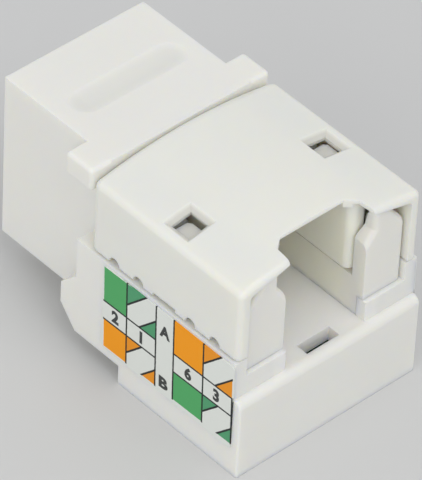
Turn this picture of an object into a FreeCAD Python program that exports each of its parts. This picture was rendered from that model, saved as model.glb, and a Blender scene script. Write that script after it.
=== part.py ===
"""Keystone jack with a top-loading terminal block and a press-on wire cap.

Millimetres.  +Z is up, +Y is the cable end, -Y is the plug end, +X is the side
whose label shows contacts 1, 2, 3 and 6.  The origin is under the middle of the
jack, in the plane that it stands on.
"""
import FreeCAD, Part
import math
import os

V = FreeCAD.Vector

# ---- driving dimensions (mm); ..._AT is measured back from the plug face, ..._BACK back
# ---- from the nose of the base, and ..._SETBACK forward from the rear face of the base
BLOCK_WIDTH = 14.5          # front block, the part that fills the panel opening
BLOCK_HEIGHT = 16.25
BLOCK_DEPTH = 12.9
BLOCK_RISE = 3.15           # underside of the front block above the standing plane
FLANGE_INSET = 0.22         # stop bar across the block's top, from the sides of the base
FLANGE_AT = 9.8
FLANGE_HEIGHT = 2.2
GROOVE_WIDTH = 11.6         # shallow catch groove in the block's top
GROOVE_AT = 4.9
GROOVE_LENGTH = 2.9
GROOVE_DEPTH = 0.2
GROOVE_OFF_MIDDLE = -0.2

PORT_WIDTH = 11.75          # plug opening
PORT_HEIGHT = 6.75
PORT_FLOOR_RISE = 3.2       # port floor above the block's underside
PORT_BACK_WALL = 1.0
KEY_WIDE = 6.1              # stepped slot for the plug's own latch
KEY_NARROW = 3.9
KEY_STEP = 1.6
KEY_TOP = 1.3

LATCH_WIDTH = 7.8           # springy panel latch under the block
LATCH_THICKNESS = 1.1
LATCH_ROOT_AT = 1.2
LATCH_TIP_AT = 9.3
LATCH_CATCH_AT = 6.6
LATCH_CATCH_DROP = 0.75

SPRING_COUNT = 8            # plug contact springs
SPRING_PITCH = 1.02
SPRING_WIDTH = 0.45
SPRING_THICKNESS = 0.35
SPRING_BEND_AT = 2.4        # front bend of the springs
SPRING_BEND_RADIUS = 0.6
SPRING_END_AT = 10.0
SPRING_RISE = 3.4           # free end above the lower run
SPRING_TAIL_BEHIND = 1.8    # first row of soldered tails, behind the front block
SPRING_TAIL_ROW = 1.7       # from the first row of tails to the second

CARRIER_MARGIN = 1.1        # comb that the springs lie in, beyond the outer springs' pitch
CARRIER_THICKNESS = 0.9
CARRIER_RIB_HEIGHT = 0.6
CARRIER_AT = 3.4

BASE_WIDTH = 19.1           # rear base
BASE_LAP = 2.9              # nose of the base, forward of the back of the front block
BASE_LENGTH = 20.9
BASE_WALL = 1.2
BASE_BELLY_BACK = 7.0       # where the underside steps down to the standing plane
BASE_BELLY_STEP = 1.85
BASE_NOSE = 1.75            # run of the chamfers above and below the nose
BASE_NOSE_BOTTOM = 3.85
BASE_NOSE_TOP = 5.95
BASE_FLOOR_TOP = 7.9        # floor of the cable channel
BASE_FLOOR_THICKNESS = 1.45
BASE_RIM_RADIUS = 0.72
PLINTH_TOP = 9.85
PLINTH_SETBACK = 0.77
PLINTH_WALL = 1.0
SIDE_WALL_TOP = 11.65
TIE_SLOT_WIDTH = 3.4
TIE_SLOT_LENGTH = 1.2
TIE_SLOT_SETBACK = 0.95     # from the slot to the rear face

COVER_THICKNESS = 1.0       # plate that closes the underside
COVER_WALL = 1.6
COVER_POST_RADIUS = 0.8
BOARD_THICKNESS = 1.2       # circuit board
BOARD_UNDERSIDE = 4.2
HOLE_DIAMETER = 0.9         # plated holes, and the passages above them
HOLE_SIDES = 8

BANK_WIDTH = 4.1            # each bank of terminals, from the cable channel to the base wall
BANK_TOP = 11.6             # top of the channel walls
BANK_BACK = 3.35
TOWER_INSET = 1.4           # towers, from the channel
TOWER_GAP = 0.35            # towers, from the base wall
TOWER_TOP = 17.5
TOWER_OVERHANG = 1.15       # tower left beyond the outermost wire slot
TOWER_CHAMFER = 0.35
ROW_BACK = 11.7             # middle of both rows of terminals
PAIR_INNER = 3.0            # wire slots, from the middle of the row
PAIR_OUTER = 5.8
PAIR_EDGE = 1.3             # tower left inside the innermost wire slot
SLOT_WIDTH = 1.0            # wire slots
SLOT_FLOOR = 12.6
SLOT_MOUTH = 1.7
SLOT_MOUTH_DEPTH = 0.8
POST_SIZE = 1.8             # square post under each window of the cap
POST_INSET = 2.9            # middle of the post, from the channel
POST_TOP = 18.0
POST_CORNER = 0.3

PILLAR_WIDTH = 4.1          # upright each side of the cable entry
PILLAR_DEPTH = 1.35
PILLAR_SETBACK = 1.15       # rear face of the pillar, from the rear face of the base
PILLAR_TOP = 18.4
PILLAR_SLANT_RUN = 2.0      # slant at the outer top corner: its run and its fall
PILLAR_SLANT_FALL = 2.3
PILLAR_SLANT_RADIUS = 1.2
PILLAR_LEAN_FALL = 2.5      # slant over the pillar's front, and what is left behind it
PILLAR_RIDGE = 0.8
PILLAR_INNER_RADIUS = 0.5
PILLAR_SHOULDER_RUN = 0.8   # slope on the inner edge: its run, its rise and its foot's depth
PILLAR_SHOULDER_RISE = 1.1
PILLAR_SHOULDER_DROP = 2.85
PILLAR_EDGE_RADIUS = 0.5

BLADE_COUNT = 8             # insulation-displacement terminals
BLADE_INSET = 2.55          # middle of the blade, from the channel
BLADE_WIDTH = 2.2
BLADE_THICKNESS = 0.4
BLADE_TOP = 16.4
BLADE_SLIT = 0.3
BLADE_MOUTH = 1.1
BLADE_MOUTH_DEPTH = 0.7
BLADE_TAIL_WIDTH = 0.5

CAP_INSET = 0.15            # sides of the wire cap, from the sides of the base
CAP_CROWN = 0.25            # middle of the arched top, above the stop bar
CAP_CROWN_RADIUS = 45.0
CAP_REAR_SETBACK = 0.7
CAP_WALL = 1.0
CAP_FRONT_WALL = 0.7
CAP_PLATE = 0.75
CAP_EDGE_RADIUS = 0.6
CAP_CORNER_RADIUS = 0.9
CAP_REAR_RADIUS = 0.5
RIB_OVERHANG = 0.35         # ribs of the cap, inwards from the channel walls
RIB_THICKNESS = 1.4
RIB_CLEARANCE = 0.55        # lower edge of the ribs, above the channel walls
RIB_END_RADIUS = 0.7
CUTOUT_DEPTH = 3.15         # from the rear face of the base
CUTOUT_INSET = 0.9          # front corner of the cut-out, inwards from the channel walls
CUTOUT_CORNER_RUN = 0.95
CUTOUT_CORNER_LENGTH = 0.75
CUTOUT_FLARE = 0.25
CUTOUT_UNDERCUT = 0.65      # the plate thins to this far behind the cut-out's front edge
CUTOUT_LIP = 0.1
WINDOW_SIZE = 2.0
WINDOW_BEVEL = 0.5
WINDOW_BEVEL_DEPTH = 0.45
NOTCH_RADIUS = 0.6
SLIT_LENGTH = 2.6
SLIT_HEIGHT = 0.3

BLOCK_EDGE_RADIUS = 0.35
FLANGE_EDGE_RADIUS = 0.35
BASE_EDGE_RADIUS = 0.2
ARCH_RADIUS = 0.4
ARCH_FALL = 1.1             # how far the arch's roof falls from its inner to its outer side
ARCH_LIP = 0.3              # cap left over the arch's inner side
ARCH_GAP = 0.12             # round the sides of the pillars
BRIDGE_DEPTH = 1.2          # bridge between the two banks of the terminal block

LABEL_LENGTH = 15.1
LABEL_BACK = 5.0
LABEL_HEIGHT = 8.6
LABEL_BOTTOM = 2.7
LABEL_THICKNESS = 0.1
LABEL_CORNER = 0.3          # rounded corners of the label

FIT = 0.03                  # between pieces that are pushed together and stay
CAP_GAP = 0.2               # round what the cap slides over
SEAM_GAP = 0.1              # between the front of the cap and the stop bar

# ---- what follows from them
TOTAL_LENGTH = BLOCK_DEPTH - BASE_LAP + BASE_LENGTH
FRONT_Y = -TOTAL_LENGTH / 2
REAR_Y = TOTAL_LENGTH / 2
BLOCK_END_Y = FRONT_Y + BLOCK_DEPTH
NOSE_Y = BLOCK_END_Y - BASE_LAP
TOP_Z = BLOCK_RISE + BLOCK_HEIGHT
HALF_BASE = BASE_WIDTH / 2
INSIDE_BASE = HALF_BASE - BASE_WALL
FLANGE_WIDTH = BASE_WIDTH - 2 * FLANGE_INSET
CAP_WIDTH = BASE_WIDTH - 2 * CAP_INSET
CHANNEL = INSIDE_BASE - FIT - BANK_WIDTH
TOWER_INNER = CHANNEL + TOWER_INSET
TOWER_OUTER = INSIDE_BASE - TOWER_GAP
POST_MIDDLE = CHANNEL + POST_INSET
BLADE_MIDDLE = CHANNEL + BLADE_INSET
RIB_INNER = CHANNEL - RIB_OVERHANG
CARRIER_WIDTH = SPRING_COUNT * SPRING_PITCH + 2 * CARRIER_MARGIN
PORT_FLOOR = BLOCK_RISE + PORT_FLOOR_RISE
CAVITY_Y = NOSE_Y + BANK_BACK
CAVITY_END_Y = REAR_Y - BASE_WALL
CAVITY_TOP = BASE_FLOOR_TOP - BASE_FLOOR_THICKNESS
SPRING_RUN_Z = BOARD_UNDERSIDE + BOARD_THICKNESS + FIT + SPRING_THICKNESS / 2
CAP_BOTTOM = SIDE_WALL_TOP + CAP_GAP
CROWN_TOP = TOP_Z + CAP_CROWN
RIB_BOTTOM = BANK_TOP + RIB_CLEARANCE
CAP_FRONT_Y = BLOCK_END_Y + SEAM_GAP
CAP_REAR_Y = REAR_Y - CAP_REAR_SETBACK
PILLAR_REAR_Y = REAR_Y - PILLAR_SETBACK
PILLAR_FRONT_Y = PILLAR_REAR_Y - PILLAR_DEPTH
BANK_END_Y = REAR_Y - PLINTH_SETBACK - PLINTH_WALL - FIT
ROW_Y = NOSE_Y + ROW_BACK
WIRE_PLACES = (-PAIR_OUTER, -PAIR_INNER, PAIR_INNER, PAIR_OUTER)


def box(x0, x1, y0, y1, z0, z1):
    """A box between two opposite corners."""
    return Part.makeBox(x1 - x0, y1 - y0, z1 - z0, V(x0, y0, z0))


def prism(points, sweep):
    """A closed outline of 3-D points, swept straight."""
    return Part.Face(Part.makePolygon(points + points[:1])).extrude(sweep)


def across(outline, x0, x1):
    """An outline of (y, z) points, extruded from x0 to x1."""
    return prism([V(x0, y, z) for y, z in outline], V(x1 - x0, 0, 0))


def upright(outline, z0, z1):
    """An outline of (x, y) points, extruded from z0 to z1."""
    return prism([V(x, y, z0) for x, y in outline], V(0, 0, z1 - z0))


def endwise(outline, y0, y1):
    """An outline of (x, z) points, extruded from y0 to y1."""
    return prism([V(x, y0, z) for x, z in outline], V(0, y1 - y0, 0))


def mirrored(shape):
    """The same shape on the other side of the middle plane."""
    return shape.mirror(V(0, 0, 0), V(1, 0, 0))


def both_sides(shapes):
    """Each shape with its mirror image."""
    return shapes + [mirrored(shape) for shape in shapes]


def edges_where(shape, test, along=None):
    """The edges whose corners all pass the test, or only those along one direction."""
    chosen = []
    for edge in shape.Edges:
        points = [corner.Point for corner in edge.Vertexes]
        if not all(test(point) for point in points):
            continue
        if along is None or abs((points[-1] - points[0]).normalize().dot(along)) > 0.99:
            chosen.append(edge)
    return chosen


def near(a, b):
    """True where two coordinates are the same place."""
    return abs(a - b) < 1e-4


def rounded(shape, radius, test, along=None):
    """The shape with the chosen edges filleted."""
    return shape.makeFillet(radius, edges_where(shape, test, along))


UP = V(0, 0, 1)
ALONG = V(0, 1, 0)
ACROSS = V(1, 0, 0)


# ---- front housing -----------------------------------------------------------------
def catch_groove():
    """The shallow scoop in the top of the block: part of a wide bar with ball ends."""
    half = GROOVE_LENGTH / 2
    radius = (half * half + GROOVE_DEPTH * GROOVE_DEPTH) / (2 * GROOVE_DEPTH)
    reach = GROOVE_WIDTH / 2 - half
    middle = V(GROOVE_OFF_MIDDLE, FRONT_Y + GROOVE_AT + half, TOP_Z - GROOVE_DEPTH + radius)
    bar = Part.makeCylinder(radius, 2 * reach, middle - ACROSS * reach, ACROSS)
    balls = [Part.makeSphere(radius, middle + ACROSS * reach * side) for side in (-1, 1)]
    return [bar] + balls


def port_hollow():
    """The plug opening with the stepped slot for the plug's latch above it."""
    y1 = BLOCK_END_Y - PORT_BACK_WALL
    roof = PORT_FLOOR + PORT_HEIGHT
    main = box(-PORT_WIDTH / 2, PORT_WIDTH / 2, FRONT_Y, y1, PORT_FLOOR, roof)
    wide = box(-KEY_WIDE / 2, KEY_WIDE / 2, FRONT_Y, y1, roof, roof + KEY_STEP)
    narrow = box(-KEY_NARROW / 2, KEY_NARROW / 2, FRONT_Y, y1, roof, roof + KEY_STEP + KEY_TOP)
    return main.fuse([wide, narrow])


def carrier_pocket():
    """The room under the port floor for the springs and their comb, open to the rear."""
    half = CARRIER_WIDTH / 2 + FIT
    y0 = FRONT_Y + SPRING_BEND_AT - SPRING_BEND_RADIUS - SPRING_THICKNESS - CAP_GAP
    z0 = SPRING_RUN_Z - SPRING_THICKNESS / 2 - CARRIER_THICKNESS
    return box(-half, half, y0, BLOCK_END_Y, z0, PORT_FLOOR)


def panel_latch():
    """The springy arm under the block: it slopes down to the rear, with a catch step."""
    half = LATCH_WIDTH / 2
    root_y = FRONT_Y + LATCH_ROOT_AT
    tip_y = FRONT_Y + LATCH_TIP_AT
    catch_y = FRONT_Y + LATCH_CATCH_AT
    slope = BLOCK_RISE / (LATCH_TIP_AT - LATCH_ROOT_AT)
    under_catch = BLOCK_RISE - slope * (LATCH_CATCH_AT - LATCH_ROOT_AT)
    outline = [
        (root_y - LATCH_THICKNESS / 2, BLOCK_RISE),
        (root_y + LATCH_THICKNESS, BLOCK_RISE),
        (tip_y, LATCH_THICKNESS),
        (tip_y, 0),
        (tip_y - LATCH_THICKNESS, 0),
        (catch_y, under_catch - LATCH_CATCH_DROP),
        (catch_y, under_catch),
        (root_y, BLOCK_RISE - LATCH_THICKNESS / 2),
    ]
    return across(outline, -half, half)


def stop_bar():
    """The bar across the top of the block."""
    half = FLANGE_WIDTH / 2
    bar = box(-half, half, FRONT_Y + FLANGE_AT, BLOCK_END_Y, TOP_Z - FLANGE_HEIGHT, TOP_Z)
    return rounded(bar, FLANGE_EDGE_RADIUS, lambda p: near(abs(p.x), half))


def front_housing():
    """Block, stop bar and latch in one moulding."""
    half = BLOCK_WIDTH / 2
    block = box(-half, half, FRONT_Y, BLOCK_END_Y, BLOCK_RISE, TOP_Z)
    block = rounded(block, BLOCK_EDGE_RADIUS, lambda p: near(p.y, FRONT_Y))
    body = block.fuse([stop_bar(), panel_latch()]).removeSplitter()
    return body.cut(catch_groove() + [port_hollow(), carrier_pocket()])


# ---- plug contacts and their comb --------------------------------------------------
def spring_x(index):
    """The middle of one plug contact."""
    return (index - (SPRING_COUNT - 1) / 2) * SPRING_PITCH


def tail_y(index):
    """Tails alternate between two rows, as the holes of the board do."""
    return BLOCK_END_Y + SPRING_TAIL_BEHIND + SPRING_TAIL_ROW * (index % 2)


def contact(index):
    """One spring: a tail up through the board, a run forward, a bend and a rising arm."""
    x = spring_x(index)
    r = SPRING_BEND_RADIUS
    bend = V(x, FRONT_Y + SPRING_BEND_AT, SPRING_RUN_Z + r)
    tip = V(x, FRONT_Y + SPRING_END_AT, SPRING_RUN_Z + SPRING_RISE)
    reach = tip - bend
    angle = math.atan2(reach.z, reach.y) + math.asin(r / reach.Length)
    leave = bend + V(0, -math.sin(angle) * r, math.cos(angle) * r)
    turn = bend + V(0, -math.cos(angle / 2) * r, -math.sin(angle / 2) * r)
    low = bend - V(0, 0, r)
    y = tail_y(index)
    corner = r / 2
    slant = corner * (1 - math.sqrt(0.5))
    tail_foot = V(x, y, BOARD_UNDERSIDE - SPRING_WIDTH)
    tail_top = V(x, y, SPRING_RUN_Z - corner)
    run_end = V(x, y - corner, SPRING_RUN_Z)
    path = Part.Wire([
        Part.makeLine(tail_foot, tail_top),
        Part.Arc(tail_top, V(x, y - slant, SPRING_RUN_Z - slant), run_end).toShape(),
        Part.makeLine(run_end, low),
        Part.Arc(low, turn, leave).toShape(),
        Part.makeLine(leave, tip),
    ])
    w = SPRING_WIDTH / 2
    t = SPRING_THICKNESS / 2
    section = Part.makePolygon([tail_foot + V(-w, -t, 0), tail_foot + V(w, -t, 0),
                                tail_foot + V(w, t, 0), tail_foot + V(-w, t, 0),
                                tail_foot + V(-w, -t, 0)])
    return path.makePipeShell([section], True, False)


def contact_carrier():
    """The comb under the springs: a plate with a rib each side of every spring."""
    half = CARRIER_WIDTH / 2
    top = SPRING_RUN_Z - SPRING_THICKNESS / 2
    y0 = FRONT_Y + CARRIER_AT
    y1 = BLOCK_END_Y
    body = box(-half, half, y0, y1, top - CARRIER_THICKNESS, top + CARRIER_RIB_HEIGHT)
    groove = SPRING_WIDTH / 2 + FIT
    grooves = [box(spring_x(i) - groove, spring_x(i) + groove, y0, y1, top,
                   top + CARRIER_RIB_HEIGHT) for i in range(SPRING_COUNT)]
    return body.cut(grooves)


# ---- terminals and board -----------------------------------------------------------
def blade_place(index):
    """Where one terminal stands: four along each bank."""
    side = 1 if index < len(WIRE_PLACES) else -1
    return side * BLADE_MIDDLE, ROW_Y + WIRE_PLACES[index % len(WIRE_PLACES)]


def idc_terminal(index):
    """A flat blade, slit from the top with a mouth for the wire, on a soldered tail."""
    x, y = blade_place(index)
    half = BLADE_WIDTH / 2
    tail = BLADE_TAIL_WIDTH / 2
    slit = BLADE_SLIT / 2
    mouth = BLADE_MOUTH / 2
    foot = BOARD_UNDERSIDE - BLADE_TAIL_WIDTH
    shoulder = BASE_FLOOR_TOP + FIT
    outline = [
        (y - tail, foot), (y + tail, foot), (y + tail, shoulder), (y + half, shoulder),
        (y + half, BLADE_TOP), (y + mouth, BLADE_TOP), (y + slit, BLADE_TOP - BLADE_MOUTH_DEPTH),
        (y + slit, SLOT_FLOOR), (y - slit, SLOT_FLOOR), (y - slit, BLADE_TOP - BLADE_MOUTH_DEPTH),
        (y - mouth, BLADE_TOP), (y - half, BLADE_TOP), (y - half, shoulder), (y - tail, shoulder),
    ]
    return across(outline, x - BLADE_THICKNESS / 2, x + BLADE_THICKNESS / 2)


def hole_places():
    """Every hole of the board."""
    springs = [(spring_x(i), tail_y(i)) for i in range(SPRING_COUNT)]
    return springs + [blade_place(i) for i in range(BLADE_COUNT)]


def passage(x, y, z0, z1):
    """A many-sided way through for one tail."""
    around = [math.radians((k + 0.5) * 360 / HOLE_SIDES) for k in range(HOLE_SIDES)]
    radius = HOLE_DIAMETER / 2
    return upright([(x + radius * math.cos(a), y + radius * math.sin(a)) for a in around], z0, z1)


def circuit_board():
    """The board that joins plug contacts to terminals."""
    half = INSIDE_BASE - FIT
    z1 = BOARD_UNDERSIDE + BOARD_THICKNESS
    board = box(-half, half, CAVITY_Y + FIT, CAVITY_END_Y - FIT, BOARD_UNDERSIDE, z1)
    return board.cut([passage(x, y, BOARD_UNDERSIDE, z1) for x, y in hole_places()])


# ---- rear base and its cover -------------------------------------------------------
def base_outline():
    """The base seen from the side."""
    brow_y = NOSE_Y + BASE_NOSE
    belly_y = NOSE_Y + BASE_BELLY_BACK
    plinth_y = REAR_Y - PLINTH_SETBACK
    return [
        (NOSE_Y, BASE_NOSE_BOTTOM), (NOSE_Y, BASE_NOSE_TOP),
        (brow_y, BASE_NOSE_TOP + BASE_NOSE), (brow_y, SIDE_WALL_TOP), (plinth_y, SIDE_WALL_TOP),
        (plinth_y, BASE_FLOOR_TOP), (REAR_Y, BASE_FLOOR_TOP), (REAR_Y, 0), (belly_y, 0),
        (belly_y, BASE_BELLY_STEP), (brow_y, BASE_BELLY_STEP),
    ]


def rear_base():
    """Open-topped tub: side walls, floor, plinth, and a cavity for the board below."""
    half = HALF_BASE
    body = across(base_outline(), -half, half)
    body = rounded(body, BASE_RIM_RADIUS,
                   lambda p: near(p.y, REAR_Y) and near(p.z, BASE_FLOOR_TOP))
    body = rounded(body, BASE_EDGE_RADIUS, lambda p: near(abs(p.x), half) and near(p.y, REAR_Y), UP)
    pocket_half = BLOCK_WIDTH / 2 + FIT
    pocket_y = BLOCK_END_Y + FIT
    plinth_y = REAR_Y - PLINTH_SETBACK
    belly_y = NOSE_Y + BASE_BELLY_BACK + COVER_WALL
    slot_y = REAR_Y - TIE_SLOT_SETBACK
    cuts = [
        # between the side walls, above the floor
        box(-INSIDE_BASE, INSIDE_BASE, CAVITY_Y, plinth_y - PLINTH_WALL, BASE_FLOOR_TOP, TOP_Z),
        # room for the pillars over the plinth
        box(-INSIDE_BASE, INSIDE_BASE, CAVITY_Y, REAR_Y, PLINTH_TOP, TOP_Z),
        # the cable's way out, between the halves of the plinth
        box(-CHANNEL, CHANNEL, CAVITY_Y, REAR_Y, BASE_FLOOR_TOP, TOP_Z),
        # room for the board, and its opening in the underside
        box(-INSIDE_BASE, INSIDE_BASE, CAVITY_Y, CAVITY_END_Y, COVER_THICKNESS + BASE_BELLY_STEP,
            CAVITY_TOP),
        box(-INSIDE_BASE, INSIDE_BASE, belly_y, CAVITY_END_Y, 0, CAVITY_TOP),
        # the pocket that takes the back of the front block
        box(-pocket_half, pocket_half, FRONT_Y, pocket_y, BLOCK_RISE - FIT, TOP_Z),
        # the springs' way in, over the board
        box(-CARRIER_WIDTH / 2, CARRIER_WIDTH / 2, FRONT_Y, CAVITY_Y, BOARD_UNDERSIDE, PORT_FLOOR),
        # the cable-tie slot in the floor
        box(-TIE_SLOT_WIDTH / 2, TIE_SLOT_WIDTH / 2, slot_y - TIE_SLOT_LENGTH, slot_y,
            CAVITY_TOP - BASE_FLOOR_THICKNESS, TOP_Z),
    ]
    for index in range(BLADE_COUNT):
        x, y = blade_place(index)
        cuts.append(passage(x, y, CAVITY_TOP, BASE_FLOOR_TOP))
    return body.cut(cuts)


def bottom_cover():
    """The plate pressed into the underside, with posts that hold the board up."""
    half = INSIDE_BASE - FIT
    y0 = NOSE_Y + BASE_BELLY_BACK + COVER_WALL + FIT
    y1 = CAVITY_END_Y - FIT
    plate = box(-half, half, y0, y1, 0, COVER_THICKNESS)
    radius = COVER_POST_RADIUS
    posts = [Part.makeCylinder(radius, BOARD_UNDERSIDE, V(side * (half - radius), y, 0))
             for side in (-1, 1) for y in (ROW_Y, y1 - radius)]
    return plate.fuse(posts).removeSplitter()


# ---- terminal block ----------------------------------------------------------------
def tower_block(y0, y1):
    """One run of towers with bevelled tops, before its wire slots."""
    block = box(TOWER_INNER, TOWER_OUTER, y0, y1, BASE_FLOOR_TOP, TOWER_TOP)
    return block.makeChamfer(TOWER_CHAMFER, edges_where(block, lambda p: near(p.z, TOWER_TOP)))


def wire_slot(y):
    """The slot that a wire is pushed into, with a flared mouth, right through a bank."""
    half = SLOT_WIDTH / 2
    mouth = SLOT_MOUTH / 2
    mouth_z = TOWER_TOP - SLOT_MOUTH_DEPTH
    outline = [(y - half, SLOT_FLOOR), (y + half, SLOT_FLOOR), (y + half, mouth_z),
               (y + mouth, TOWER_TOP), (y - mouth, TOWER_TOP), (y - half, mouth_z)]
    return across(outline, 0, HALF_BASE)


def blade_pocket(index):
    """The slit in the towers that one blade stands in."""
    x, y = blade_place(index)
    half_x = BLADE_THICKNESS / 2
    half_y = BLADE_WIDTH / 2
    return box(x - half_x, x + half_x, y - half_y, y + half_y, BASE_FLOOR_TOP, TOP_Z)


def pillar():
    """The upright beside the cable entry, with a shoulder on its inner edge."""
    x0 = CHANNEL
    x1 = x0 + PILLAR_WIDTH
    neck = x0 + PILLAR_SHOULDER_RUN
    y0 = PILLAR_FRONT_Y
    bottom = PLINTH_TOP + FIT
    shoulder = PILLAR_TOP - PILLAR_SHOULDER_DROP
    slant_x = x1 - PILLAR_SLANT_RUN
    slant_z = PILLAR_TOP - PILLAR_SLANT_FALL
    profile = endwise([(x0, bottom), (x1, bottom), (x1, slant_z), (slant_x, PILLAR_TOP),
                       (neck, PILLAR_TOP), (neck, shoulder + PILLAR_SHOULDER_RISE),
                       (x0, shoulder)], y0, PILLAR_REAR_Y)
    profile = rounded(profile, PILLAR_SLANT_RADIUS,
                      lambda p: near(p.x, x1) and near(p.z, slant_z), ALONG)
    profile = rounded(profile, PILLAR_SLANT_RADIUS,
                      lambda p: near(p.x, slant_x) and near(p.z, PILLAR_TOP), ALONG)
    profile = rounded(profile, PILLAR_INNER_RADIUS,
                      lambda p: near(p.x, neck) and near(p.z, PILLAR_TOP), ALONG)
    profile = rounded(profile, PILLAR_EDGE_RADIUS,
                      lambda p: near(p.y, PILLAR_REAR_Y) and p.z > bottom)
    lean = across([(y0, PILLAR_TOP - PILLAR_LEAN_FALL), (PILLAR_REAR_Y - PILLAR_RIDGE, PILLAR_TOP),
                   (y0, PILLAR_TOP)], x0, x1)
    foot = box(x0, x1, y0, BANK_END_Y, BASE_FLOOR_TOP, BANK_TOP)
    return profile.cut(lean).fuse(foot)


def bank():
    """One bank: channel wall, two runs of towers, the post between them and the pillar."""
    x0 = CHANNEL
    y0 = CAVITY_Y + FIT
    wall = box(x0, INSIDE_BASE - FIT, y0, BANK_END_Y, BASE_FLOOR_TOP, BANK_TOP)
    inner = PAIR_INNER - PAIR_EDGE
    outer = PAIR_OUTER + TOWER_OVERHANG
    towers = [tower_block(ROW_Y - outer, ROW_Y - inner), tower_block(ROW_Y + inner, ROW_Y + outer)]
    half = POST_SIZE / 2
    post = box(POST_MIDDLE - half, POST_MIDDLE + half, ROW_Y - half, ROW_Y + half,
               BASE_FLOOR_TOP, POST_TOP)
    post = post.makeChamfer(POST_CORNER, edges_where(post, lambda p: True, UP))
    body = wall.fuse(towers + [post, pillar()]).removeSplitter()
    slots = [wire_slot(ROW_Y + place) for place in WIRE_PLACES]
    pockets = [blade_pocket(i) for i in range(len(WIRE_PLACES))]
    return body.cut(slots + pockets)


def terminal_block():
    """Both banks, joined by a bridge across the front end of the channel."""
    half = CHANNEL + BRIDGE_DEPTH
    bridge = box(-half, half, CAVITY_Y + FIT, CAVITY_Y + FIT + BRIDGE_DEPTH, BASE_FLOOR_TOP,
                 BANK_TOP)
    return bank().fuse([mirrored(bank()), bridge]).removeSplitter()


# ---- wire cap ----------------------------------------------------------------------
def under_crown(drop):
    """All that lies under the arched top, or under the same arch a little lower."""
    radius = CAP_CROWN_RADIUS - drop
    return Part.makeCylinder(radius, TOTAL_LENGTH, V(0, FRONT_Y, CROWN_TOP - CAP_CROWN_RADIUS),
                             ALONG)


def cap_shell():
    """The outer form with its arched top, hollow and open below."""
    half = CAP_WIDTH / 2
    outer = box(-half, half, CAP_FRONT_Y, CAP_REAR_Y, CAP_BOTTOM, CROWN_TOP)
    outer = outer.common(under_crown(0))
    outer = rounded(outer, CAP_EDGE_RADIUS,
                    lambda p: near(abs(p.x), half) and p.z > CAP_BOTTOM, ALONG)
    outer = rounded(outer, CAP_CORNER_RADIUS,
                    lambda p: near(abs(p.x), half) and near(p.y, CAP_FRONT_Y), UP)
    outer = rounded(outer, CAP_REAR_RADIUS,
                    lambda p: near(abs(p.x), half) and near(p.y, CAP_REAR_Y), UP)
    inner = box(CAP_WALL - half, half - CAP_WALL, CAP_FRONT_Y + CAP_FRONT_WALL,
                CAP_REAR_Y - CAP_WALL, CAP_BOTTOM, CROWN_TOP)
    return outer.cut(inner.common(under_crown(CAP_PLATE)))


def cap_rib():
    """The rib beside the channel that holds the wires down, rounded at its rear end."""
    y0 = CAP_FRONT_Y + CAP_FRONT_WALL / 2
    y1 = PILLAR_FRONT_Y - CAP_GAP
    rib = box(RIB_INNER, RIB_INNER + RIB_THICKNESS, y0, y1, RIB_BOTTOM, TOP_Z - CAP_PLATE / 2)
    return rounded(rib, RIB_END_RADIUS, lambda p: near(p.y, y1) and near(p.x, RIB_INNER), UP)


def cable_cutout():
    """The bite out of the top plate over the cable entry, undercut at its front."""
    half = CHANNEL - CUTOUT_INSET
    y0 = REAR_Y - CUTOUT_DEPTH
    y1 = y0 + CUTOUT_CORNER_LENGTH
    wide = half + CUTOUT_CORNER_RUN
    end = wide + CUTOUT_FLARE
    bite = upright([(-half, y0), (half, y0), (wide, y1), (end, REAR_Y), (-end, REAR_Y),
                    (-wide, y1)], CAP_BOTTOM, CROWN_TOP)
    under = TOP_Z - CAP_PLATE
    wedge = across([(y0, TOP_Z - CUTOUT_LIP), (y0 - CUTOUT_UNDERCUT, under), (y0, under)],
                   -half, half)
    return bite.fuse(wedge)


def pillar_arch():
    """The way out of the cap's rear for a pillar, its roof falling to the outside."""
    x1 = CHANNEL + PILLAR_WIDTH + ARCH_GAP
    y0 = PILLAR_FRONT_Y - CAP_GAP
    roof = TOP_Z - ARCH_LIP
    arch = endwise([(0, CAP_BOTTOM), (x1, CAP_BOTTOM), (x1, roof - ARCH_FALL), (CHANNEL, roof),
                    (0, roof)], y0, REAR_Y)
    return rounded(arch, ARCH_RADIUS, lambda p: near(p.x, x1) and near(p.z, roof - ARCH_FALL))


def square_ring(half, z):
    """A square outline round the upright through the origin."""
    corners = ((-half, -half), (half, -half), (half, half), (-half, half), (-half, -half))
    return Part.makePolygon([V(x, y, z) for x, y in corners])


def cap_window():
    """The square hole over a post, bevelled at its top and square to the arched top."""
    half = WINDOW_SIZE / 2
    rings = [square_ring(half, -2 * CAP_PLATE), square_ring(half, -WINDOW_BEVEL_DEPTH),
             square_ring(half + WINDOW_BEVEL, 0)]
    hole = Part.makeLoft(rings, True, True)
    lean = math.asin(POST_MIDDLE / CAP_CROWN_RADIUS)
    hole.rotate(V(0, 0, 0), ALONG, math.degrees(lean))
    surface = CROWN_TOP - CAP_CROWN_RADIUS * (1 - math.cos(lean))
    hole.translate(V(POST_MIDDLE, ROW_Y, surface))
    return hole


def edge_notches():
    """Half-round wire notches and the slit between the pairs, in the cap's lower side edge."""
    x0 = CAP_WIDTH / 2 - CAP_WALL
    notches = [Part.makeCylinder(NOTCH_RADIUS, 2 * CAP_WALL, V(x0, ROW_Y + place, CAP_BOTTOM),
                                 ACROSS) for place in WIRE_PLACES]
    slit = box(x0, x0 + 2 * CAP_WALL, ROW_Y - SLIT_LENGTH / 2, ROW_Y + SLIT_LENGTH / 2,
               CAP_BOTTOM, CAP_BOTTOM + SLIT_HEIGHT)
    return notches + [slit]


def wire_cap():
    """The press-on cap: a thin shell with ribs, a cable cut-out, windows and notches."""
    body = cap_shell().fuse(both_sides([cap_rib()])).removeSplitter()
    cuts = [cable_cutout()] + both_sides([pillar_arch(), cap_window()] + edge_notches())
    return body.cut(cuts)


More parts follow.
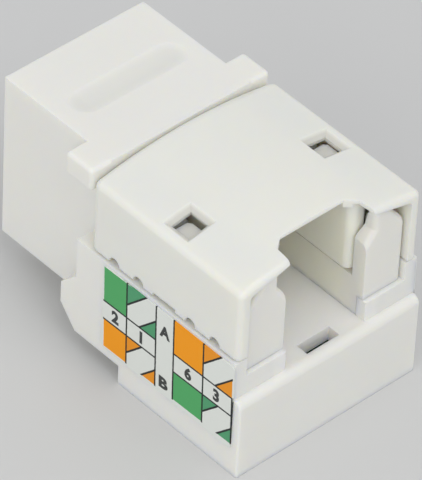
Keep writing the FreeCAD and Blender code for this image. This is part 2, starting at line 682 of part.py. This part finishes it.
# ---- labels ------------------------------------------------------------------------
def label():
    """The wiring label on a side of the base."""
    y0 = NOSE_Y + LABEL_BACK
    sheet = box(HALF_BASE, HALF_BASE + LABEL_THICKNESS, y0, y0 + LABEL_LENGTH, LABEL_BOTTOM,
                LABEL_BOTTOM + LABEL_HEIGHT)
    return rounded(sheet, LABEL_CORNER, lambda p: True, ACROSS)


def all_parts():
    """Every piece by name."""
    parts = {
        "front_housing": front_housing(),
        "contact_carrier": contact_carrier(),
        "circuit_board": circuit_board(),
        "rear_base": rear_base(),
        "bottom_cover": bottom_cover(),
        "terminal_block": terminal_block(),
        "wire_cap": wire_cap(),
        "label_right": label(),
        "label_left": mirrored(label()),
    }
    for i in range(SPRING_COUNT):
        parts["contact_%d" % (i + 1)] = contact(i)
    for i in range(BLADE_COUNT):
        parts["idc_terminal_%d" % (i + 1)] = idc_terminal(i)
    return parts


if __name__ == "__main__":
    os.makedirs("parts", exist_ok=True)
    for name, shape in all_parts().items():
        print("%-18s %8.2f mm3  %s" % (name, shape.Volume, "ok" if shape.isValid() else "INVALID"))
        shape.exportStep("parts/%s.step" % name)
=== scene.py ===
# %% [markdown]
# # A keystone jack, dressed
#
# The jack's mouldings, springs, blades and board come from the CAD frame and keep their
# shapes. What is added here is what a mould and a printer add: the skin of each plastic,
# the plating of the metal, the colour print of the two wiring labels and their figures.

# %% Load the frame
import math

import bpy
import numpy as np
from mathutils import Matrix, Vector


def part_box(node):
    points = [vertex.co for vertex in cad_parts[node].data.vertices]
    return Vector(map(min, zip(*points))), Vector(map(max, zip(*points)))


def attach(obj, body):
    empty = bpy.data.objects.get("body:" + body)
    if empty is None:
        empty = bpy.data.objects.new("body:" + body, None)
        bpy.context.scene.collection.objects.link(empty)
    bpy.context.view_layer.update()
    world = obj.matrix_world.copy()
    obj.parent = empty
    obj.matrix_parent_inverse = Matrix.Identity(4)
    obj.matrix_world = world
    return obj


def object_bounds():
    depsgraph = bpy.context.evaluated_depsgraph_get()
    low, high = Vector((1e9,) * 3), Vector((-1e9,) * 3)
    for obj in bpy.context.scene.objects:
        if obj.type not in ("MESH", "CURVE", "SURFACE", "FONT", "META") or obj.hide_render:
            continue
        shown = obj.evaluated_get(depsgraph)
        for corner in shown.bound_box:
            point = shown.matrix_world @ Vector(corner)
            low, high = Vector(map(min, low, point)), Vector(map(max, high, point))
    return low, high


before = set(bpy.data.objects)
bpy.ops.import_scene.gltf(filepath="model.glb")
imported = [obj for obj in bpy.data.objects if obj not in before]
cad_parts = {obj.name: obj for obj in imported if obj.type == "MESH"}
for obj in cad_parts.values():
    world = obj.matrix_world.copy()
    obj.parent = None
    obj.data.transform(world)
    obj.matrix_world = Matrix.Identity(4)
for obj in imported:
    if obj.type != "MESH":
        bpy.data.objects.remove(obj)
cad_low, cad_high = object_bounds()
MM = 0.001
print("nodes:", len(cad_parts), "box (mm):", [round(c / MM, 2) for c in cad_high - cad_low])

# %% [markdown]
# ## Sums on sockets
#
# A finish is a sum over the surface: so much grain here, a line of ink there. Blender adds
# such sums as chains of small nodes. The two classes below let them be written as ordinary
# expressions instead, so that `1 - line` or `edge * 0.3` adds its own Math nodes.


# %% A socket that can be used in a sum
class Amount:
    """A number that varies over a surface; each operator adds one Math node."""

    def __init__(self, finish, socket):
        self.finish = finish
        self.socket = socket

    def math(self, operation, *values, clamp=False):
        settings = {"operation": operation, "use_clamp": clamp}
        return self.finish.node("ShaderNodeMath", settings, dict(enumerate(values)))

    def __add__(self, other):
        return self.math("ADD", self, other)

    def __sub__(self, other):
        return self.math("SUBTRACT", self, other)

    def __rsub__(self, other):
        return self.math("SUBTRACT", other, self)

    def __mul__(self, other):
        return self.math("MULTIPLY", self, other)

    def __truediv__(self, other):
        return self.math("DIVIDE", self, other)

    __radd__ = __add__
    __rmul__ = __mul__

    def least(self, other):
        return self.math("MINIMUM", self, other)

    def most(self, other):
        return self.math("MAXIMUM", self, other)

    def size(self):
        return self.math("ABSOLUTE", self)

    def root(self):
        return self.math("SQRT", self)

    def clamped(self):
        return self.math("ADD", self, 0.0, clamp=True)


# %% A material under construction
class Finish:
    """One material: a Principled shader, and one method that adds any other node."""

    def __init__(self, name):
        self.material = bpy.data.materials.new(name)
        self.material.use_nodes = True
        self.tree = self.material.node_tree
        self.shader = self.tree.nodes["Principled BSDF"]
        self.place = self.node("ShaderNodeTexCoord", {}, {}, "Object")

    def node(self, kind, settings, inputs, output=0):
        """Adds a node: its settings first, then a value or a link for each input."""
        made = self.tree.nodes.new(kind)
        for key, value in settings.items():
            setattr(made, key, value)
        for key, value in inputs.items():
            self.feed(made.inputs[key], value)
        return Amount(self, made.outputs[output])

    def feed(self, socket, value):
        if isinstance(value, Amount):
            self.tree.links.new(value.socket, socket)
        else:
            socket.default_value = value

    def set(self, **inputs):
        """Feeds the shader's own sockets, named with underscores for spaces."""
        for name, value in inputs.items():
            self.feed(self.shader.inputs[name.replace("_", " ")], value)
        return self

    def noise(self, size, detail=2.0, roughness=0.5):
        """Cloudy noise whose patches are about size metres across, from 0 to 1."""
        values = {"Vector": self.place, "Scale": 1 / size, "Detail": detail,
                  "Roughness": roughness}
        return self.node("ShaderNodeTexNoise", {}, values, "Fac")

    def blend(self, factor, low, high):
        """A colour between two others: inputs 6 and 7 are the Mix node's two colours."""
        return self.node("ShaderNodeMix", {"data_type": "RGBA"}, {0: factor, 6: low, 7: high}, 2)

    def along(self, axis):
        """The place along X, Y or Z, in millimetres."""
        split = self.node("ShaderNodeSeparateXYZ", {}, {"Vector": self.place}, axis)
        return split / MM

    def inside(self, low, high, fade):
        """0 outside a box, 1 deep inside it: the least distance to its sides, over fade."""
        depth = None
        for axis, start, end in zip("XYZ", low, high):
            place = self.along(axis)
            nearer = (place - start).least(end - place)
            depth = nearer if depth is None else depth.least(nearer)
        return (depth / fade).clamped()

    def bump(self, height, distance, strength=1.0):
        """A normal leaned by a height that varies from 0 to 1 over distance metres."""
        values = {"Height": height, "Distance": distance, "Strength": strength}
        return self.node("ShaderNodeBump", {}, values, "Normal")


def give(finish, *names):
    """Puts a material in every slot of the named CAD nodes."""
    for name in names:
        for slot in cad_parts[name].material_slots:
            slot.material = finish.material


# %% [markdown]
# ## White moulded plastic
#
# The mouldings are an off-white polycarbonate blend with a fine satin skin. Up close such a
# skin is a very shallow orange peel from the spark-eroded mould, a little glossier where the
# mould was worn, and its white drifts by two or three hundredths. Peel and drift are both
# noise: one fine and fed to the bump, one broad and fed to colour and roughness.
#
# Light that gets in between white walls bounces many times and goes a little way into them,
# so the recesses of such a moulding look paler and creamier than plain shade. A painted tint
# inside strengthens that: it is painted bounce light, not a colour of the plastic. Each skin has
# a box, and the deeper a point lies inside it, the more of this painted light it has: cream in
# the cap and the banks, and a lighter white in the shell.


# %% The satin white skin
BOUNCE_FADE = 1.5


def moulded_white(name, colour, warm, bounce_tint, bounce_box, roughness):
    """Off-white plastic: it drifts from colour to warm, and inside a box turns towards a tint of
    painted bounce light.
    """
    skin = Finish(name)
    drift = skin.noise(6 * MM, detail=3.0)
    grain = skin.noise(0.12 * MM, detail=2.0, roughness=0.6)
    peel = skin.noise(0.45 * MM, detail=1.0)
    outside = skin.blend(drift, colour, warm)
    # Painted bounce light: deep inside the box the colour turns to the paler, creamier tint.
    skin.tone = skin.blend(skin.inside(*bounce_box, BOUNCE_FADE), outside, bounce_tint)
    skin.set(
        Base_Color=skin.tone,
        Roughness=roughness + (drift - 0.5) * 0.1 + (grain - 0.5) * 0.06,
        Normal=skin.bump(grain * 0.4 + peel * 0.6, 0.012 * MM, 0.5),
        IOR=1.5,
        Subsurface_Weight=0.6,
        Subsurface_Radius=(1.0, 0.85, 0.5),
        Subsurface_Scale=1.2 * MM,
    )
    return skin


# %% The three whites, each with its tint of painted bounce light and the box of that tint in millimetres
BOUNCE_CREAM = (0.93, 0.91, 0.79, 1)
BOUNCE_WHITE = (0.95, 0.93, 0.90, 1)
CHANNEL_BOX = ((-5.7, -3.0, 2.0), (5.7, 15.2, 13.0))
CAP_BOX = ((-8.2, -2.0, 8.0), (8.2, 14.8, 18.3))
BANK_BOX = ((-9.0, -3.0, 2.0), (9.0, 13.0, 18.0))

shell_white = moulded_white("shell_white", (0.855, 0.85, 0.81, 1), (0.835, 0.825, 0.775, 1),
                            BOUNCE_WHITE, CHANNEL_BOX, 0.52)
cap_white = moulded_white("cap_white", (0.852, 0.85, 0.795, 1), (0.832, 0.825, 0.76, 1),
                          BOUNCE_CREAM, CAP_BOX, 0.48)
bank_white = moulded_white("bank_white", (0.85, 0.84, 0.79, 1), (0.83, 0.815, 0.765, 1),
                           BOUNCE_CREAM, BANK_BOX, 0.52)
give(shell_white, "front_housing", "rear_base", "bottom_cover")
give(cap_white, "wire_cap")
give(bank_white, "terminal_block")
print("white skins:", [skin.material.name for skin in (shell_white, cap_white, bank_white)])

# %% [markdown]
# Shade is painted into the recesses: the floor of the catch groove, the bevels of the cap's
# windows and the posts under them are made a little darker, as shade would make them. The
# groove's floor is what lies in a box that ends just under the block's top. The bevels lie
# within a window's square and under the cap's arched top, which is part of a cylinder, so a
# point's depth is the cylinder's radius less the point's distance from its axis.

# %% Painted shade in the recesses
BLOCK_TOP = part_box("front_housing")[1].z / MM
CROWN_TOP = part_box("wire_cap")[1].z / MM
CROWN_RADIUS = 45.0
GROOVE_BOX = ((-6.2, -10.8, BLOCK_TOP - 0.4), (5.8, -7.4, BLOCK_TOP - 0.005))
GROOVE_FADE = 0.15
WINDOW_PLACE = (7.12, 6.25)
WINDOW_REACH = 1.6
WINDOW_FADE = 0.1
BEVEL_START = 0.03
BEVEL_FADE = 0.2
POST_REACH = 1.2
POST_SHADE_LOW = 17.6
POST_FADE = 0.3
SHADE_TONE = (0.72, 0.705, 0.645, 1)
LIGHT_SHADE_TONE = (0.80, 0.795, 0.745, 1)


def paint_shade(skin, amount, tone):
    """Paints shade: darkens a skin towards a tone by an amount that varies over it."""
    skin.set(Base_Color=skin.blend(amount, skin.tone, tone))


def window_square(skin, reach):
    """Above 1 well inside the squares of the two windows, seen from above, below 0 outside."""
    across = reach - (skin.along("X").size() - WINDOW_PLACE[0]).size()
    along = reach - (skin.along("Y") - WINDOW_PLACE[1]).size()
    return across.least(along) / WINDOW_FADE


def window_bevels(skin):
    """1 within a window's square where the skin lies under the arch."""
    x = skin.along("X")
    above_axis = skin.along("Z") - (CROWN_TOP - CROWN_RADIUS)
    sunk = CROWN_RADIUS - (x * x + above_axis * above_axis).root()
    depth = (sunk - BEVEL_START) / BEVEL_FADE
    return depth.least(window_square(skin, WINDOW_REACH)).clamped()


def post_tops(skin):
    """1 on the tops of the posts that stand under the windows."""
    height = (skin.along("Z") - POST_SHADE_LOW) / POST_FADE
    return height.least(window_square(skin, POST_REACH)).clamped()


# Painted shade: the groove's floor, the window bevels and the post tops are darkened.
paint_shade(shell_white, shell_white.inside(*GROOVE_BOX, GROOVE_FADE), LIGHT_SHADE_TONE)
paint_shade(cap_white, window_bevels(cap_white), SHADE_TONE)
paint_shade(bank_white, post_tops(bank_white), SHADE_TONE)
print("painted_shade under (mm): block top", round(BLOCK_TOP, 2), "crown", round(CROWN_TOP, 2))

# %% [markdown]
# ## Metal and board
#
# The springs are phosphor bronze with a thin gold plate over nickel: bright, yellow, and a
# little rougher where they were drawn. The blades are tin plated, so greyer and duller. The
# comb is a dark glass-filled plastic, and the board is green solder mask over woven glass.


# %% Plated metal
def plated(name, colour, shade, roughness):
    """Metal with fine draw marks along Y and a slow drift of tone."""
    metal = Finish(name)
    stretched = metal.node("ShaderNodeMapping", {}, {"Vector": metal.place,
                                                     "Scale": (1.0, 0.12, 0.12)})
    marks = metal.node("ShaderNodeTexNoise", {}, {"Vector": stretched, "Scale": 1 / (0.06 * MM),
                                                  "Detail": 1.0}, "Fac")
    drift = metal.noise(2 * MM)
    metal.set(
        Base_Color=metal.blend(drift, colour, shade),
        Roughness=roughness + (marks - 0.5) * 0.15,
        Metallic=1.0,
        Normal=metal.bump(marks, 0.004 * MM, 0.4),
    )
    return metal


gold = plated("gold_plate", (0.93, 0.70, 0.33, 1), (0.88, 0.62, 0.26, 1), 0.22)
tin = plated("tin_plate", (0.72, 0.71, 0.68, 1), (0.62, 0.61, 0.59, 1), 0.35)
contacts = [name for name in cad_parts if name.startswith("contact_") and name[-1].isdigit()]
blades = [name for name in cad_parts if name.startswith("idc_terminal_")]
give(gold, *contacts)
give(tin, *blades)
print("plated:", len(contacts), "springs and", len(blades), "blades")


# %% Comb and board
def glass_filled(name):
    """Dark plastic with pale flecks of glass fibre just under the skin."""
    dark = Finish(name)
    flecks = (dark.noise(0.15 * MM, detail=4.0, roughness=0.7) - 0.55) * 4
    dark.set(
        Base_Color=dark.blend(flecks.clamped(), (0.018, 0.018, 0.02, 1), (0.045, 0.045, 0.048, 1)),
        Roughness=0.5 + (dark.noise(1 * MM) - 0.5) * 0.15,
        Normal=dark.bump(dark.noise(0.2 * MM), 0.01 * MM, 0.4),
    )
    return dark


def solder_mask(name):
    """Green lacquer over a weave: two crossed waves give the weave's faint squares."""
    board = Finish(name)
    weave = {"Vector": board.place, "Scale": 1 / (1.6 * MM)}
    along = board.node("ShaderNodeTexWave", {"bands_direction": "X"}, weave, "Fac")
    over = board.node("ShaderNodeTexWave", {"bands_direction": "Y"}, weave, "Fac")
    board.set(
        Base_Color=board.blend(along * over, (0.01, 0.085, 0.035, 1), (0.016, 0.12, 0.05, 1)),
        Roughness=0.3 + board.noise(3 * MM) * 0.1,
        Normal=board.bump(along + over, 0.006 * MM, 0.3),
    )
    return board


comb_dark = glass_filled("comb_dark")
board_green = solder_mask("board_green")
give(comb_dark, "contact_carrier")
give(board_green, "circuit_board")
print("inside:", comb_dark.material.name, board_green.material.name)

# %% [markdown]
# ## The wiring labels
#
# Each label shows which wire goes in which slot. Solid fields stand for solid wires, and a
# field with two coloured corners and a white diagonal stands for a striped wire. The upper
# row is scheme A and the lower row scheme B, and the band between them carries the contact
# numbers. The print is worked out from distances: each field is the set of points whose
# least distance inside its edges is positive, so its border stays sharp at any size. Like
# most stuck-on labels it sits a degree or so askew, so the distances are taken along axes
# that are turned a little from the wall's own.

# %% Where the print's lines fall, in millimetres from the label's front lower corner
# The two corners of a striped field are shares of its height, and the turn is in radians.
label_low, label_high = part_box("label_right")
FIELD_LEFT = 0.3
COLUMN_LINES = (2.96, 6.36, 8.42, 11.82)
FIELD_RIGHT = 15.14
FIELD_TOP = 8.53
BAND_TOP = 4.98
BAND_BOTTOM = 3.1
FIELD_BOTTOM = 0.2
UPPER_CORNER = 0.62
LOWER_CORNER = 0.545
PRINT_TURN = 0.0244
LINE = 0.085
SOFT = 0.03
WOBBLE = 0.05
INK = (0.018, 0.022, 0.022, 1)
PAPER = (0.785, 0.81, 0.765, 1)
print("label (mm):", [round(c / MM, 2) for c in label_high - label_low])


# %% Print worked out from distances
class Print:
    """The print on one label, in millimetres: u runs rearwards and v runs up."""

    def __init__(self, name):
        self.finish = Finish(name)
        u = self.finish.along("Y") - label_low.y / MM
        v = self.finish.along("Z") - label_low.z / MM
        self.u = u + v * PRINT_TURN
        self.v = v - u * PRINT_TURN
        self.wobble = (self.finish.noise(0.25 * MM, detail=2.0) - 0.5) * WOBBLE
        self.colour = PAPER
        self.ink = None

    def field(self, left, right, bottom, top):
        """Distance inside an upright rectangle."""
        across = (self.u - left).least(right - self.u)
        return across.least((self.v - bottom).least(top - self.v))

    def mask(self, distance):
        """1 inside, 0 outside, with a printed edge SOFT wide."""
        return self.finish.node("ShaderNodeMath", {"operation": "MULTIPLY_ADD", "use_clamp": True},
                                {0: distance + self.wobble, 1: 1 / SOFT, 2: 0.5})

    def paint(self, distance, colour):
        self.colour = self.finish.blend(self.mask(distance), self.colour, colour)

    def rule(self, distance):
        """Adds a dark line where a distance is near 0."""
        line = LINE - distance
        self.ink = line if self.ink is None else self.ink.most(line)

    def solid(self, left, right, bottom, top, colour):
        self.paint(self.field(left, right, bottom, top), colour)

    def striped(self, left, right, bottom, top, colour):
        """Two coloured corners, upper left and lower right, each edged with a dark line."""
        cell = self.field(left, right, bottom, top)
        from_upper_left = (self.u - left) + (top - self.v)
        from_lower_right = (right - self.u) + (self.v - bottom)
        for reach, share in ((from_upper_left, UPPER_CORNER), (from_lower_right, LOWER_CORNER)):
            inside = (share * (top - bottom) - reach) * math.sqrt(0.5)
            self.paint(cell.least(inside), colour)
            self.rule(inside.size().most((0 - cell) + LINE / 2))

    def upright(self, u, bottom, top):
        self.rule((self.u - u).size().most(bottom - self.v).most(self.v - top))

    def level(self, v, left, right):
        self.rule((self.v - v).size().most(left - self.u).most(self.u - right))


# %% The colours and the layout shared by both labels
GREEN = (0.086, 0.41, 0.136, 1)
GREEN_CORNER = (0.085, 0.345, 0.165, 1)
ORANGE = (0.96, 0.35, 0.005, 1)
ORANGE_CORNER = (0.87, 0.31, 0.012, 1)
BLUE = (0.05, 0.17, 0.50, 1)
BLUE_CORNER = (0.06, 0.19, 0.46, 1)
BROWN = (0.21, 0.095, 0.04, 1)
BROWN_CORNER = (0.19, 0.09, 0.045, 1)


def wiring_print(name, cells):
    """One label's print. cells gives each column's solid or striped colour, upper and lower."""
    made = Print(name)
    one, two, three, four = COLUMN_LINES
    columns = ((FIELD_LEFT, one), (one, two), (three, four), (four, FIELD_RIGHT))
    rows = ((BAND_TOP, FIELD_TOP), (FIELD_BOTTOM, BAND_BOTTOM))
    for index, (left, right) in enumerate(columns):
        draw = made.solid if index % 2 == 0 else made.striped
        for (bottom, top), colour in zip(rows, cells[index]):
            draw(left, right, bottom, top, colour)
    for left, right in ((FIELD_LEFT, two), (three, FIELD_RIGHT)):
        made.level(BAND_TOP, left, right)
        made.level(BAND_BOTTOM, left, right)
    for u in (one, two, three, four):
        made.upright(u, FIELD_BOTTOM, FIELD_TOP - 0.05)
    made.upright(FIELD_RIGHT, FIELD_BOTTOM, BAND_TOP)

    drawn = made.finish.blend(made.mask(made.ink), made.colour, INK)
    gloss = made.finish.noise(1.5 * MM)
    made.finish.set(Base_Color=drawn, Roughness=0.5 + (gloss - 0.5) * 0.12,
                    Specular_IOR_Level=0.2,
                    Normal=made.finish.bump(made.finish.noise(0.3 * MM), 0.006 * MM, 0.4))
    return made.finish


right_print = wiring_print("print_right", ((GREEN, ORANGE), (GREEN_CORNER, ORANGE_CORNER),
                                           (ORANGE, GREEN), (ORANGE_CORNER, GREEN_CORNER)))
left_print = wiring_print("print_left", ((BLUE, BLUE), (BLUE_CORNER, BLUE_CORNER),
                                         (BROWN, BROWN), (BROWN_CORNER, BROWN_CORNER)))
give(right_print, "label_right")
give(left_print, "label_left")
print("label prints:", right_print.material.name, left_print.material.name)

# %% [markdown]
# ## Figures on the labels
#
# The contact numbers and the two scheme letters are solid ink. Type is the one thing that a
# formula doesn't draw well, so Blender's own plain font gives the outlines. They are turned
# with the rest of the print and lie a hundredth of a millimetre above the label, which is
# about as thick as a film of ink.

# %% Set type on a side
FIGURE_HEIGHT = 1.25
FIGURE_WIDTH = 0.97
FIGURE_BOLD = 0.05
LETTER_HEIGHT = 1.2
LETTER_A = {"shift": 0.0, "middle": 6.44, "width": 0.95}
LETTER_B = {"shift": -0.05, "middle": 1.09, "width": 1.2}
LAST_DIGIT_SHIFT = -0.12
INK_FILM = 0.01


def ink_material():
    ink = Finish("figure_ink")
    wear = ink.noise(0.2 * MM, detail=3.0)
    ink.set(Base_Color=ink.blend(wear, (0.02, 0.024, 0.024, 1), (0.035, 0.04, 0.04, 1)),
            Roughness=0.45 + (wear - 0.5) * 0.2)
    return ink.material


def outline_of(text):
    """Vertices (n x 2, in units of the type's height) and faces of one figure."""
    curve = bpy.data.curves.new("type", "FONT")
    curve.body = text
    curve.align_x = "CENTER"
    curve.align_y = "CENTER"
    curve.resolution_u = 6
    curve.offset = FIGURE_BOLD
    holder = bpy.data.objects.new("type", curve)
    bpy.context.scene.collection.objects.link(holder)
    bpy.context.view_layer.update()
    mesh = bpy.data.meshes.new_from_object(holder.evaluated_get(
        bpy.context.evaluated_depsgraph_get()))
    points = np.zeros(len(mesh.vertices) * 3)
    mesh.vertices.foreach_get("co", points)
    points = points.reshape(-1, 3)[:, :2]
    faces = [tuple(face.vertices) for face in mesh.polygons]
    bpy.data.objects.remove(holder)
    bpy.data.meshes.remove(mesh)
    points -= (points.min(0) + points.max(0)) / 2
    return points / np.ptp(points[:, 1]), faces


def figures(name, side, texts):
    """One mesh of a side's figures, side +1 or -1; texts holds (text, u, v, height, width)."""
    surface = max(abs(label_low.x), abs(label_high.x)) + INK_FILM * MM
    rows, faces = [], []
    for text, u, v, height, width in texts:
        points, polygons = outline_of(text)
        start = sum(len(row) for row in rows)
        across = u + side * points[:, 0] * height * width
        above = v + points[:, 1] * height
        y = label_low.y + (across - above * PRINT_TURN) * MM
        z = label_low.z + (above + across * PRINT_TURN) * MM
        rows.append(np.column_stack((np.full(len(points), side * surface), y, z)))
        faces += [tuple(start + i for i in face) for face in polygons]
    mesh = bpy.data.meshes.new(name)
    mesh.from_pydata(np.vstack(rows).tolist(), [], faces)
    mesh.materials.append(figure_ink)
    piece = bpy.data.objects.new(name, mesh)
    bpy.context.scene.collection.objects.link(piece)
    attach(piece, "jack")
    print(name, len(mesh.vertices), "vertices")


figure_ink = ink_material()
band = (BAND_TOP + BAND_BOTTOM) / 2
one, two, three, four = COLUMN_LINES
middles = ((FIELD_LEFT + one) / 2, (one + two) / 2, (three + four) / 2,
           (four + FIELD_RIGHT) / 2 + LAST_DIGIT_SHIFT)
letters = [(text, (two + three) / 2 + made["shift"], made["middle"], LETTER_HEIGHT, made["width"])
           for text, made in (("A", LETTER_A), ("B", LETTER_B))]


def numbered(digits):
    """The two letters, and a digit in the middle of each column's band."""
    return letters + [(digit, u, band, FIGURE_HEIGHT, FIGURE_WIDTH)
                      for digit, u in zip(digits, middles)]


figures("figures_right", 1, numbered("2163"))
figures("figures_left", -1, numbered("4587"))

# %% [markdown]
# ## Floor, light and camera
#
# The jack stands on a plain pale floor. One soft panel hangs above and behind it and shines
# down into the cable channel, another lights its right side, and an even sky fills the rest.
# The camera stands high behind the jack's right rear corner, far off and with a long lens,
# so that its edges stay nearly parallel.


# %% A pale floor
def pale_floor():
    half = 0.6
    mesh = bpy.data.meshes.new("floor")
    corners = np.array([(-1, -1, 0), (1, -1, 0), (1, 1, 0), (-1, 1, 0)]) * (half, half, 1)
    mesh.from_pydata(corners.tolist(), [], [(0, 1, 2, 3)])
    floor = bpy.data.objects.new("floor", mesh)
    bpy.context.scene.collection.objects.link(floor)
    card = Finish("floor_card")
    card.set(Base_Color=card.blend(card.noise(20 * MM), (0.64, 0.64, 0.635, 1),
                                   (0.67, 0.67, 0.66, 1)), Roughness=0.9)
    mesh.materials.append(card.material)
    print("floor:", 2 * half, "m across")


pale_floor()


# %% Soft light
def soft_panel(name, place, aim, size, power):
    light = bpy.data.lights.new(name, "AREA")
    light.shape = "DISK"
    light.size = size
    light.energy = power
    lamp = bpy.data.objects.new(name, light)
    lamp.location = place
    lamp.rotation_euler = (Vector(aim) - Vector(place)).to_track_quat("-Z", "Y").to_euler()
    bpy.context.scene.collection.objects.link(lamp)
    print(name, "at", tuple(place), power, "W")


centre = (cad_low + cad_high) / 2
soft_panel("overhead", (0.04, 0.24, 0.42), centre, 0.35, 0.52)
soft_panel("right", (0.42, 0.14, 0.24), centre, 0.50, 0.54)

world = bpy.data.worlds.new("studio")
world.use_nodes = True
world.node_tree.nodes["Background"].inputs["Color"].default_value = (0.97, 0.98, 1.0, 1)
world.node_tree.nodes["Background"].inputs["Strength"].default_value = 0.68
bpy.context.scene.world = world
bpy.context.scene.view_settings.view_transform = "Standard"

# %% The camera
AZIMUTH = math.radians(135.778)
ELEVATION = math.radians(42.479)
ROLL = math.radians(3.116)
DISTANCE = 0.43483
AIM = Vector((-0.00035, 0.00105, 0.00915))
LENS = 414.15

toward = Vector((math.sin(AZIMUTH) * math.cos(ELEVATION),
                 -math.cos(AZIMUTH) * math.cos(ELEVATION), math.sin(ELEVATION)))
level = Vector((math.cos(AZIMUTH), math.sin(AZIMUTH), 0))
rise = toward.cross(level)
right = level * math.cos(ROLL) + rise * math.sin(ROLL)
up = rise * math.cos(ROLL) - level * math.sin(ROLL)
lens = bpy.data.cameras.new("camera")
lens.lens = LENS
lens.clip_start = 0.01
lens.clip_end = 10
camera = bpy.data.objects.new("camera", lens)
place = AIM + toward * DISTANCE
camera.matrix_world = Matrix((
    (right.x, up.x, toward.x, place.x),
    (right.y, up.y, toward.y, place.y),
    (right.z, up.z, toward.z, place.z),
    (0, 0, 0, 1),
))
bpy.context.scene.collection.objects.link(camera)
bpy.context.scene.camera = camera
print("camera at (mm):", [round(c / MM, 1) for c in place])
